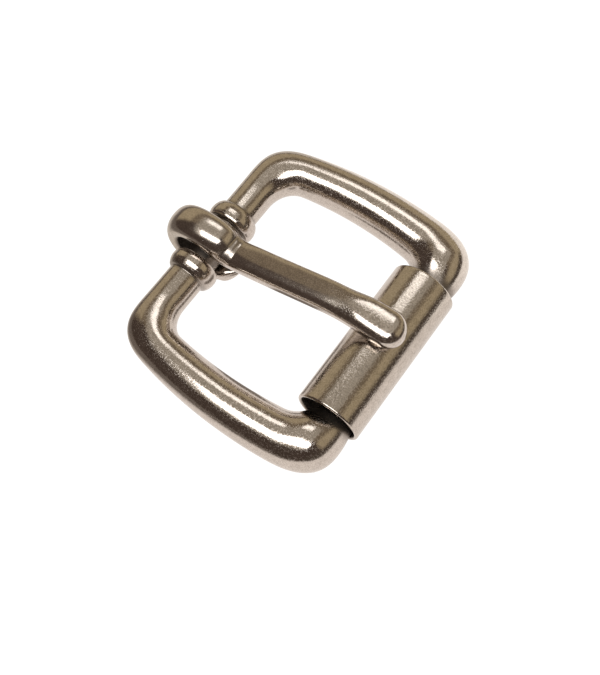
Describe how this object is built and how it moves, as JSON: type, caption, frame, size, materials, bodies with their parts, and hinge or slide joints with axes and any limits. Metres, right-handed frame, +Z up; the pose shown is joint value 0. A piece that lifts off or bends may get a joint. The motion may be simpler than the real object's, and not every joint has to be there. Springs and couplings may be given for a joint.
{
  "type": "roller buckle",
  "caption": "Cast metal strap buckle: rounded square frame with a hinge bar between collars, a swinging tongue and a loose roller on the front bar.",
  "frame": {"origin": "on the table, at the middle of the whole buckle's length and width", "axes": "+X from the hinge bar to the roller, +Y along the bars, +Z up from the table that the buckle lies on"},
  "size_m": [0.0404, 0.0428, 0.0128],
  "materials": {
    "cast_metal": "tumble polished casting with a warm, worn shine and fine grain",
    "tube_metal": "polished tube with fine pitting on the worn top"
  },
  "bodies": {
    "frame": {"frame": "cast_metal"},
    "tongue": {"tongue": "cast_metal"},
    "roller": {"roller": "tube_metal"}
  },
  "joints": [
    {"name": "tongue_swing", "type": "hinge", "parent": "frame", "child": "tongue", "pos_m": [-0.01388, -0.00035, 0.00635], "axis": [0, -1, 0], "range_deg": [0, 333]},
    {"name": "roller_spin", "type": "hinge", "parent": "frame", "child": "roller", "pos_m": [0.01542, -0.00035, 0.00475], "axis": [0, 1, 0], "continuous": true}
  ]
}
